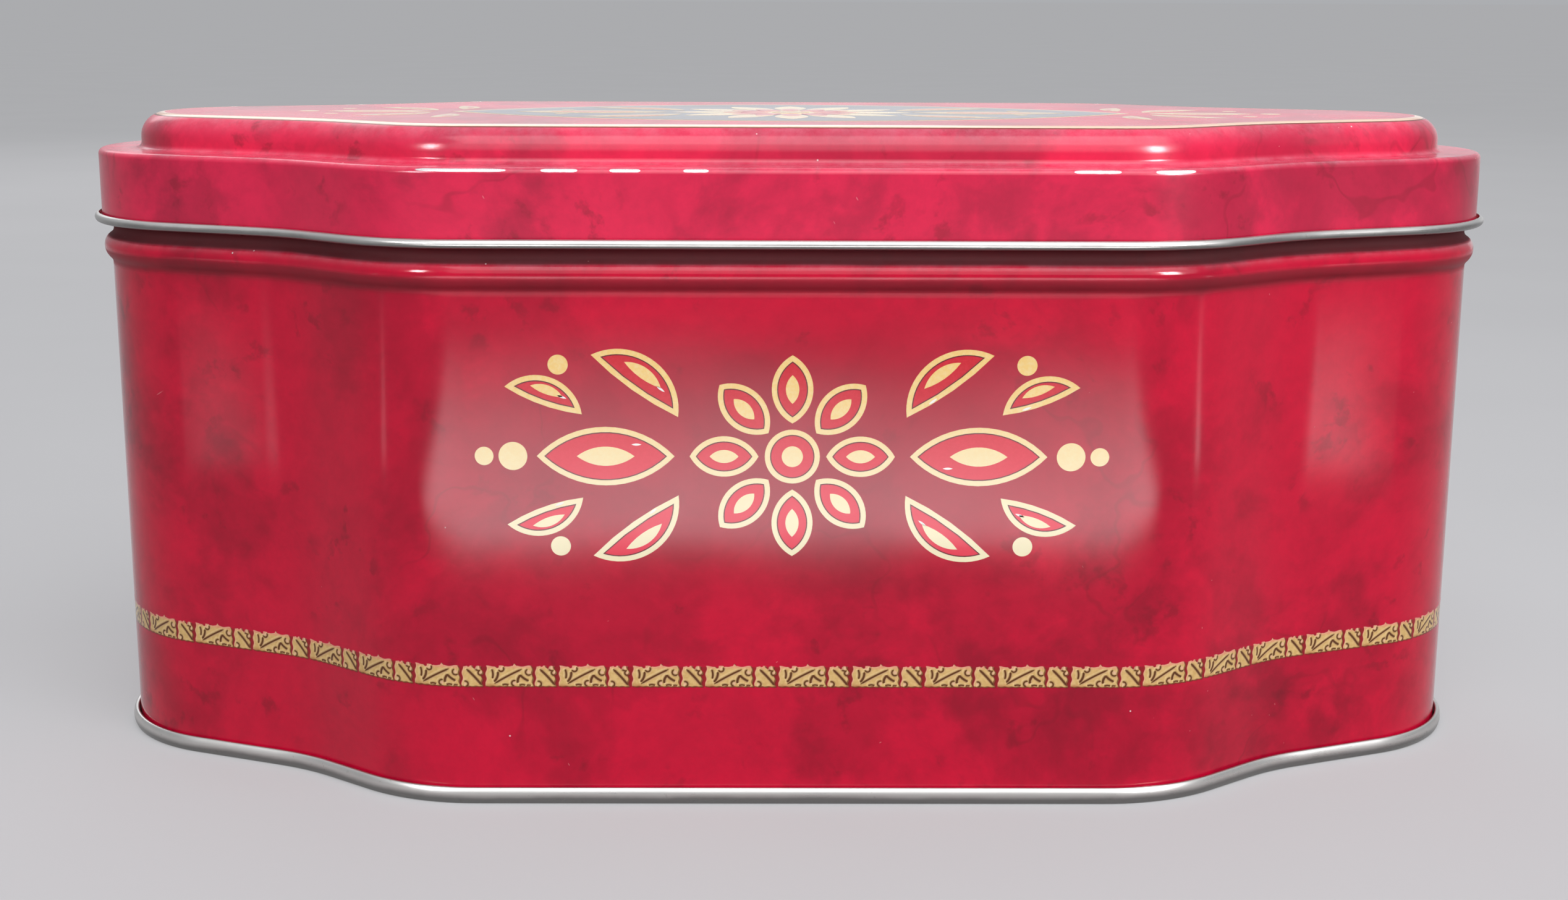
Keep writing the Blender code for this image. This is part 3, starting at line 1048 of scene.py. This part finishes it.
def lid_wear(place):
    """Where the lacquer is rubbed off the shoulder's edge, in ragged stretches.

    The edge is given in heights from the shoulder. The stretches run along the front, and at
    the back the wear is scattered by noise.
    """
    along, depth, height = axes_of(place)
    edge = window(height, *(shoulder_z + rise for rise in rubbed_edge))
    scatter = noise(vector_maths("MULTIPLY", place, (130, 40, 400)), 1, 3, 0.6)
    scarce = times(fade(noise(place, 17, 1), 0.52, 0.60), fade(depth, 0.0, 0.01))
    scatter = times(fade(scatter, 0.53, 0.58), scarce)
    stretches = [scatter]
    for start, end in rubbed_stretches:
        half = (end - start) / 2
        off_middle = apart(along, (start + end) / 2)
        stretches.append(times(fade(off_middle, 1.1 * half, 0.5 * half), fade(depth, 0.0, -0.01)))
    ragged = times(noise(place, 1100, 3), 0.3)
    rubbed = times(edge, largest(*stretches))
    return fade(maths("ADD", rubbed, ragged), 0.66, 0.82)


def lid_material():
    """Marbled lacquer, a little pinker than the wall's, and rubbed off along the shoulder."""
    material, shader, place = new_material("lid_lacquer", specular=0.42)
    printed = marbled(place, (0.72, 0.0110, 0.068, 1), (0.36, 0.0070, 0.038, 1), 0.52)
    # Settled dust and a painted sheen on the lid's upward faces.
    printed = dust_and_sheen(place, printed, 0.22)
    worn = lid_wear(place)
    varnish(shader, place, mix(worn, printed, (0.86, 0.80, 0.80, 1)), haze=0.17)
    link(worn, shader.inputs["Metallic"])
    return material


lid = sweep_sheet("tin_lid", plateau_flat, lid_high.z, 0, lid_moves,
                  lid_material(), tin_material("lid_tinplate", curl_shade_heights))
close_panel(lid, lid_high.z)
give_thickness(lid, sheet)
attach(lid, "lid_body")
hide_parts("lid")

# Cream line. Printed round the edge of the lid's raised panel, where the panel rolls over,
# with a fine brown line under it.
line_start = radians(1)
line_end = radians(21)
line_foot = radians(26)
line_softness = 0.00004


def cream_line_material():
    """Cream above and brown below, parted at one height on the rolled edge."""
    material, shader, place = new_material("cream_line")
    part_z = lid_high.z - plateau_edge_radius * (1 - cos(line_end))
    wear = times(noise(place, 900, 3), line_softness)
    height = maths("ADD", axes_of(place)[2], wear)
    cream = fade(height, part_z, part_z + line_softness)
    varnish(shader, place, mix(cream, (0.20, 0.050, 0.030, 1), (0.84, 0.58, 0.43, 1)))
    return material


line_radius = plateau_edge_radius + print_lift
line_offset = plateau_flat + line_radius * sin(line_start)
line_z = lid_high.z - plateau_edge_radius + line_radius * cos(line_start)
line_moves = [(line_radius, line_start - line_foot)]
cream_line = sweep_sheet("cream_line", line_offset, line_z, -line_start, line_moves,
                         cream_line_material())
give_thickness(cream_line, print_film)
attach(cream_line, "lid_body")

# Lid ornament. A generic medallion, printed on the raised panel: a pointed oval with a gold
# border and a dusky field, a cream flower between gold leaves, and a palmette at each end.
medallion_length = 0.120
medallion_turn = radians(100)
border_width = 0.0016


def lid_ink(name, colour, speckle):
    """One ink of the lid's ornament."""
    material, shader, place = new_material(name)
    grain = fade(noise(place, 1300, 4, 0.7), 0.38, 0.68)
    blush = fade(noise(place, 60, 4), 0.40, 0.62)
    grain = times(maths("MULTIPLY_ADD", blush, 0.5, 0.5), grain)
    varnish(shader, place, mix(grain, colour, speckle))
    return material


gold_ink = lid_ink("gold_ink", (0.74, 0.50, 0.17, 1), (0.42, 0.22, 0.05, 1))
dusk_ink = lid_ink("dusk_ink", (0.030, 0.042, 0.080, 1), (0.10, 0.10, 0.13, 1))
flower_ink = lid_ink("flower_ink", (0.88, 0.74, 0.38, 1), (0.86, 0.50, 0.34, 1))
rose_ink = lid_ink("rose_ink", (0.62, 0.045, 0.060, 1), (0.80, 0.26, 0.22, 1))
medallion = [((-medallion_length / 2, 0), 0.0, medallion_length, medallion_turn, medallion_turn)]
palmette, palmette_berries = spray([(0.0630, 0.0, 0, 0.0190, 80, 80),
                                    (0.0630, 0.0035, 40, 0.0155, 110, 20),
                                    (0.0590, 0.0075, 82, 0.0120, 110, 30)],
                                   [(0.0850, 0.0, 0.0018), (0.0795, 0.0085, 0.0013)])
lid_leaves, lid_berries = spray([(0.0215, 0.0, 0, 0.0270, 72, 72),
                                 (0.0190, 0.0060, 27, 0.0190, 112, 20)],
                                [(0.0400, 0.0062, 0.0012)])
flower = rosette(12, 0.0062, 0.0150, 84)
flower_heart = rosette(12, 0.0040, 0.0080, 96)
flower_middle = [((0, 0), 0.0068)]
flower_eye = [((0, 0), 0.0034)]
on_panel = (Vector((0, 0, lid_high.z)), (Vector((1, 0, 0)), Vector((0, 1, 0))),
            "lid_body", "lid_lacquer")
for layer in (("medallion_border", 0, 0.0, gold_ink, medallion + palmette, palmette_berries),
              ("medallion_field", 1, border_width, dusk_ink, medallion),
              ("palmette_ribs", 1, 0.0, rose_ink, ribs_of(palmette, 0.5, 0.6)),
              ("medallion_leaves", 2, 0.0, gold_ink, lid_leaves, lid_berries),
              ("medallion_flower", 2, 0.0, flower_ink, flower, flower_middle),
              ("medallion_leaf_ribs", 3, 0.0, rose_ink, ribs_of(lid_leaves, 0.55, 0.5)),
              ("medallion_heart", 3, 0.0, rose_ink, flower_heart),
              ("medallion_eye", 4, 0.0, gold_ink, [], flower_eye)):
    print_layer(on_panel, *layer)

# Floor, soft lights and the camera. The floor is plain and pale, the lamps are broad and soft,
# and the camera stands where the photograph's did.
bpy.ops.object.select_all(action="DESELECT")
bpy.ops.mesh.primitive_plane_add(size=400, location=(0, 0, 0))
floor = bpy.context.object
floor.name = "floor"
floor_material, shader, place = new_material("pale_floor", specular=0.0)
floor_tint = mix(noise(place, 9, 3), (0.30, 0.30, 0.305, 1), (0.27, 0.27, 0.275, 1))
link(floor_tint, shader.inputs["Base Color"])
shader.inputs["Roughness"].default_value = 0.6
shader.inputs["Emission Color"].default_value = (0.98, 0.98, 1.0, 1)


def glow_seen(tree, strength):
    """A glow that the camera and reflections see, and that lights nothing."""
    rays = add_node("LightPath", {}, tree=tree).outputs
    return times(largest(rays["Is Camera Ray"], rays["Is Glossy Ray"]), strength)


link(glow_seen(floor_material.node_tree, 0.27), shader.inputs["Emission Strength"])
floor.data.materials.append(floor_material)

world = bpy.data.worlds.new("studio")
bpy.context.scene.world = world
world.use_nodes = True
sky = world.node_tree.nodes["Background"]
sky.inputs["Color"].default_value = (0.94, 0.96, 1.0, 1)
rise = axes_of(add_node("TexCoord", {}, tree=world.node_tree).outputs["Generated"])[2]
glow = add_node("MapRange", {"Value": rise, "To Min": 0.20, "To Max": 0.70}).outputs[0]
link(maths("ADD", glow, glow_seen(world.node_tree, 0.24)), sky.inputs["Strength"])


def soft_light(name, place, aim, width, depth, energy):
    """A rectangular lamp that points at a place, seen only in reflections and by its light."""
    bpy.ops.object.light_add(type="AREA", location=place)
    lamp = bpy.context.object
    lamp.name = name
    lamp.visible_camera = False
    lamp.data.shape = "RECTANGLE"
    lamp.data.size = width
    lamp.data.size_y = depth
    lamp.data.energy = energy
    lamp.data.color = (1.0, 0.98, 1.0)
    lamp.rotation_euler = (Vector(aim) - Vector(place)).to_track_quat("-Z", "Y").to_euler()
    return lamp


soft_light("overhead", (0.14, -0.38, 0.66), (0, 0, 0.1), 0.80, 0.45, 3.8)
soft_light("front", (0.40, -1.15, 0.68), (0, 0, 0.05), 1.9, 0.75, 8.0)
soft_light("back", (-0.45, 1.30, 0.85), (0, 0, 0.05), 1.4, 0.7, 4.5)

# Lamps and cards that are seen only as reflections: two small bright lamps, whose glints lie
# on the lid's S bends, a pale screen behind, which pales the lid's top at a low glance, and
# pale cards on the floor before the tin.
for lamp_name, place, width, depth, energy in (("right_glint", (0.66, -0.80, 0.40), 0.18, 0.36, 11.0),
                                               ("left_glint", (-0.62, -0.84, 0.42), 0.14, 0.26, 6.0),
                                               ("screen", (0.25, 1.20, 0.16), 1.60, 0.30, 0.62)):
    glint_lamp = soft_light(lamp_name, place, (0, 0, 0.1), width, depth, energy)
    glint_lamp.visible_diffuse = False


def pale_card(place, turn, width, depth, energy):
    """A card on the floor that fades towards its sides and its far edge."""
    card = soft_light("card", place, (place[0], place[1], 1), width, depth, energy)
    card.rotation_euler.z += turn
    card.visible_diffuse = False
    card.data.use_nodes = True
    tree = card.data.node_tree
    across, away = axes_of(add_node("NewGeometry", {}, tree=tree).outputs["Parametric"])[:2]
    strength = times(fade(apart(across, 0.5), 0.5, 0.40), away)
    link(strength, tree.nodes["Emission"].inputs["Strength"])


pale_card((0.0, -0.35, 0.003), 0, 0.42, 0.28, 3.5)
pale_card((0.47, -0.25, 0.003), radians(60), 0.020, 0.40, 0.13)
pale_card((-0.47, -0.25, 0.003), radians(-60), 0.020, 0.40, 0.05)

view_place = (-0.0038, -0.3775, 0.1298)
view_yaw = 0.0075
view_pitch = radians(12.03)
view_roll = 0.0039
bpy.ops.object.camera_add(location=view_place)
camera = bpy.context.object
turn = (Matrix.Rotation(-view_yaw, 3, "Z") @ Matrix.Rotation(pi / 2 - view_pitch, 3, "X")
        @ Matrix.Rotation(view_roll, 3, "Z"))
camera.rotation_euler = turn.to_euler()
camera.data.sensor_width = 36
camera.data.lens = 48.44
bpy.context.scene.camera = camera
bpy.context.scene.view_settings.view_transform = "Standard"
